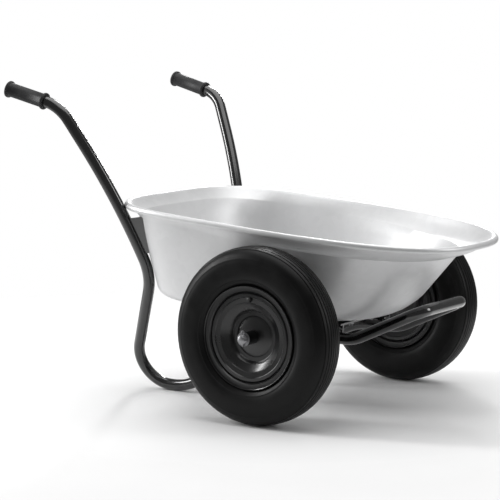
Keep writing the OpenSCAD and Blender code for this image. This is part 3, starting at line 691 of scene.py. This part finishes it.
class BARROW_OT_tyres(Operator):
    """Turns the two tyres, with a ribbed tread and moulding lines on the sidewalls"""
    bl_idname = "barrow.tyres"
    bl_label = "Tyres"

    def execute(self, context):
        shape = context.scene.barrow_wheels
        for name, side in SIDES.items():
            profile = [(w * MM, r * MM) for w, r in tyre_profile(shape.ribs)]
            piece = lathe(f"tyre_moulded_{name}", profile, wheel_centre(side), (0, side, 0), (0, 0, 1),
                          shape.columns, smooth=math.radians(38))
            own(piece, f"wheel_{name}", "tyre", FINISHES["tyre"], f"tyre_{name}")
        return {"FINISHED"}


# Radius of the hub, distance from the middle plane to a disc's face there, and the sheet's thickness
HUB_R, DISC_W, RIM_SHEET = 15.01, 9, 2
# Distances of the valve from the axle and from the middle plane
VALVE_R, VALVE_W = 85, 19
# Radius and height of each dome, and the gap between it and what it stands on
DOME_R, DOME_H, DOME_GAP = 47.3, 9.6, 0.1
# Sections of a disc and of half the barrel: (distance from the middle plane, distance from the axle)
DISC = ((9, 15.11), (9, 55), (12.5, 59), (18, 61), (20, 64), (26.5, 76), (29.5, 78.5), (30.5, 89), (33, 91),
        (33, 96.4), (31, 98.4), (25, 98.4))
BARREL = ((0, 95.6), (9, 95.6), (14, 100.6), (31.4, 101.6), (35, 104.6), (35, 113), (36, 116), (38.5, 117),
          (41, 115))


def offset(path, distance):
    """Moves an open section sideways, as the sheet's other face lies."""
    result = []
    for i, p in enumerate(path):
        d = (Vector(path[min(i + 1, len(path) - 1)]) - Vector(path[max(i - 1, 0)])).normalized()
        result.append((p[0] - distance * d.y, p[1] + distance * d.x))
    return result


def rounded(path, reach=1.6, steps=4):
    """Rounds each corner of an open section, as a press leaves it."""
    spots = [Vector(p) for p in path]
    result = [spots[0]]
    for before, corner, after in zip(spots, spots[1:], spots[2:]):
        size = min(reach, 0.42 * (corner - before).length, 0.42 * (after - corner).length)
        start = corner + (before - corner).normalized() * size
        end = corner + (after - corner).normalized() * size
        result += [start] + curve(start, corner, end, steps)
    return [tuple(p) for p in result + [spots[-1]]]


def drill(piece, place, way, radius, depth):
    """Cuts a round hole."""
    deselect()
    turn = Vector(way).to_track_quat("Z", "Y").to_euler()
    bpy.ops.mesh.primitive_cylinder_add(vertices=48, radius=radius, depth=depth, location=place,
                                        rotation=turn)
    cutter = bpy.context.object
    deselect()
    bpy.context.view_layer.objects.active = piece
    piece.select_set(True)
    apply(piece, "BOOLEAN", operation="DIFFERENCE", object=cutter, solver="EXACT")
    bpy.data.objects.remove(cutter)


class BARROW_OT_rims(Operator):
    """Presses the rims, discs and domes, and smooths the hubs and valves"""
    bl_idname = "barrow.rims"
    bl_label = "Rims and hubs"

    def pressed(self, context, name, node, section, out):
        """Turns a pressed section round a wheel's axis, facing outwards or inwards"""
        side = SIDES[name]
        profile = [(w * out * MM, r * MM) for w, r in section]
        piece = lathe(f"{node}_pressed_{name}", profile, wheel_centre(side), (0, side, 0), (0, 0, 1),
                      context.scene.barrow_wheels.columns, smooth=math.radians(40))
        return own(piece, f"wheel_{name}", "black_rim", FINISHES["black_rim"], f"{node}_{name}")

    def execute(self, context):
        disc = rounded(DISC) + offset(DISC, -RIM_SHEET)[::-1]
        whole = [(-w, r) for w, r in BARREL[:0:-1]] + list(BARREL)
        barrel = rounded(whole) + offset(whole, -RIM_SHEET)[::-1]
        low = math.acos((HUB_R + DOME_GAP) / DOME_R)
        angles = [low * (1 - k / 16) for k in range(17)]
        arc = [(DISC_W + DOME_GAP + DOME_H * math.sin(a), DOME_R * math.cos(a)) for a in angles]
        dome = arc + [(DISC_W + DOME_GAP, DOME_R - RIM_SHEET)]
        dome += [(w - RIM_SHEET, r - (0.2 if i else 0)) for i, (w, r) in reversed(list(enumerate(arc[:13])))]
        for name, side in SIDES.items():
            centre = wheel_centre(side)
            rim = self.pressed(context, name, "rim", barrel, 1)
            drill(rim, centre + Vector((0, side * VALVE_W * MM, 0.1)), (0, 0, 1), 0.0046, 0.03)
            for end, out in (("outer", 1), ("inner", -1)):
                plate = self.pressed(context, name, f"disc_{end}", disc, out)
                if out > 0:
                    drill(plate, centre + Vector((0, side * 0.03, VALVE_R * MM)), (0, 1, 0), 0.0065, 0.03)
                self.pressed(context, name, f"hub_dome_{end}", dome, out)
            for part in ("hub_sleeve", "bush_outer", "bush_inner", "valve", "valve_cap"):
                smoothed(f"{part}_{name}", f"wheel_{name}")
        return {"FINISHED"}


# ---- Stage ----

def softbox(name, place, aim, width, height, power):
    """Hangs a white rectangular lamp that faces a point."""
    bpy.ops.object.light_add(type="AREA", location=place)
    light = bpy.context.object
    light.name = name
    light.data.shape = "RECTANGLE"
    light.data.size, light.data.size_y = width, height
    light.data.energy = power
    light.rotation_euler = (Vector(aim) - Vector(place)).to_track_quat("-Z", "Y").to_euler()


# Camera: place with its distance forward of the axle first, angles in degrees, lens in mm, and shift
CAMERA_PLACE = (2.4835, -4.1548, 0.9781)
CAMERA_AZIMUTH, CAMERA_ELEVATION, CAMERA_ROLL = 32.51, 8.16, 0.28
CAMERA_LENS, CAMERA_SHIFT = 150.8, (-0.0487, 0.0608)
# Strength of the light that reaches the barrow from all round
ROOM_LIGHT = 0.2
# Distances from the middle at which the floor starts to fade and is gone
FLOOR_FADE = (0.75, 1.7)


class BARROW_OT_stage(Operator):
    """Lays a pale floor, hangs soft studio lights and sets the camera"""
    bl_idname = "barrow.stage"
    bl_label = "Stage"

    def fade_out(self, tree, shader, near, far):
        """Lets the floor melt into the white backdrop away from the barrow"""
        place = tree.nodes.new("ShaderNodeTexCoord")
        length = tree.nodes.new("ShaderNodeVectorMath")
        length.operation = "LENGTH"
        tree.links.new(place.outputs["Object"], length.inputs[0])
        clear = tree.nodes.new("ShaderNodeBsdfTransparent")
        mix = tree.nodes.new("ShaderNodeMixShader")
        tree.links.new(spread(tree, length.outputs["Value"], 0, 1, near, far), mix.inputs["Fac"])
        tree.links.new(shader.outputs["BSDF"], mix.inputs[1])
        tree.links.new(clear.outputs["BSDF"], mix.inputs[2])
        tree.links.new(mix.outputs["Shader"], tree.nodes["Material Output"].inputs["Surface"])

    def light_world(self, context):
        """White backdrop, with a dimmer room for the light that falls on the barrow"""
        world = bpy.data.worlds.new("studio")
        context.scene.world = world
        world.use_nodes = True
        tree = world.node_tree
        room = tree.nodes["Background"]
        room.inputs["Color"].default_value = (1, 1, 1, 1)
        room.inputs["Strength"].default_value = ROOM_LIGHT
        backdrop = tree.nodes.new("ShaderNodeBackground")
        backdrop.inputs["Color"].default_value = (1, 1, 1, 1)
        path = tree.nodes.new("ShaderNodeLightPath")
        mix = tree.nodes.new("ShaderNodeMixShader")
        tree.links.new(path.outputs["Is Camera Ray"], mix.inputs["Fac"])
        tree.links.new(room.outputs["Background"], mix.inputs[1])
        tree.links.new(backdrop.outputs["Background"], mix.inputs[2])
        tree.links.new(mix.outputs["Shader"], tree.nodes["World Output"].inputs["Surface"])

    def execute(self, context):
        deselect()
        bpy.ops.mesh.primitive_circle_add(vertices=96, radius=12, fill_type="NGON", location=(0, 0, 0))
        floor = bpy.context.object
        floor.name = "floor"
        material, tree, shader = finish_nodes("studio_floor")
        paper = tint(tree, noise(tree, 3), (0.94, 0.94, 0.94), (0.96, 0.96, 0.96))
        tree.links.new(paper, shader.inputs["Base Color"])
        shader.inputs["Roughness"].default_value = 0.9
        shader.inputs["Specular IOR Level"].default_value = 0.1
        self.fade_out(tree, shader, *FLOOR_FADE)
        floor.data.materials.append(material)
        self.light_world(context)

        softbox("top", (0.2, 0.2, 3.0), (0.1, 0, 0.3), 3.4, 3.4, 74)
        softbox("near_strip", (-3.2, -1.5, 1.5), (-0.2, 0, 0.5), 0.6, 2.8, 95)
        softbox("far_strip", (-1.6, 3.0, 1.9), (0, 0, 0.5), 0.25, 2.6, 50)
        softbox("nose_box", (3.4, 1.4, 1.7), (0.2, 0, 0.3), 0.9, 2.0, 30)

        a, e = math.radians(CAMERA_AZIMUTH), math.radians(CAMERA_ELEVATION)
        way = Vector((-math.sin(a) * math.cos(e), math.cos(a) * math.cos(e), -math.sin(e)))
        bpy.ops.object.camera_add(location=(CAMERA_PLACE[0] + AXLE.x, *CAMERA_PLACE[1:]))
        camera = bpy.context.object
        camera.name = "camera"
        camera.rotation_euler = way.to_track_quat("-Z", "Y").to_euler()
        camera.rotation_euler.rotate_axis("Z", math.radians(CAMERA_ROLL))
        camera.data.lens = CAMERA_LENS
        camera.data.sensor_width = 36
        camera.data.shift_x, camera.data.shift_y = CAMERA_SHIFT
        camera.data.dof.use_dof = False
        context.scene.camera = camera
        context.scene.view_settings.view_transform = "Standard"
        return {"FINISHED"}


class BARROW_PT_panel(Panel):
    """Lists the pieces of the wheelbarrow"""
    bl_idname = "BARROW_PT_panel"
    bl_label = "Wheelbarrow"
    bl_space_type = "VIEW_3D"
    bl_region_type = "UI"
    bl_category = "Barrow"

    def draw(self, context):
        for group, names in ((context.scene.barrow_tub, ("columns", "sheet", "bead", "colour", "roughness")),
                             (context.scene.barrow_tubes, ("diameter", "sides", "bend_step", "colour")),
                             (context.scene.barrow_wheels, ("columns", "ribs", "tyre_colour", "rim_colour")),
                             (context.scene.barrow_grips, ("colour",))):
            box = self.layout.box()
            for name in names:
                box.prop(group, name)
        for operator in OPERATORS:
            self.layout.operator(operator.bl_idname)


GROUPS = {
    "barrow_tub": BarrowTub, "barrow_tubes": BarrowTubes, "barrow_wheels": BarrowWheels,
    "barrow_grips": BarrowGrips
}
OPERATORS = (BARROW_OT_finishes, BARROW_OT_tub, BARROW_OT_side_tubes, BARROW_OT_front_loop, BARROW_OT_grips,
             BARROW_OT_fittings, BARROW_OT_tyres, BARROW_OT_rims, BARROW_OT_stage)


def register():
    for cls in (*GROUPS.values(), *OPERATORS, BARROW_PT_panel):
        bpy.utils.register_class(cls)
    for name, cls in GROUPS.items():
        setattr(bpy.types.Scene, name, PointerProperty(type=cls))


def unregister():
    for name in GROUPS:
        delattr(bpy.types.Scene, name)
    for cls in (BARROW_PT_panel, *reversed(OPERATORS), *reversed(GROUPS.values())):
        bpy.utils.unregister_class(cls)


def main():
    register()
    bpy.ops.barrow.finishes()
    bpy.ops.barrow.tub()
    bpy.ops.barrow.side_tubes()
    bpy.ops.barrow.front_loop()
    bpy.ops.barrow.grips()
    bpy.ops.barrow.fittings()
    bpy.ops.barrow.tyres()
    bpy.ops.barrow.rims()
    bpy.ops.barrow.stage()


if __name__ == "__main__":
    main()
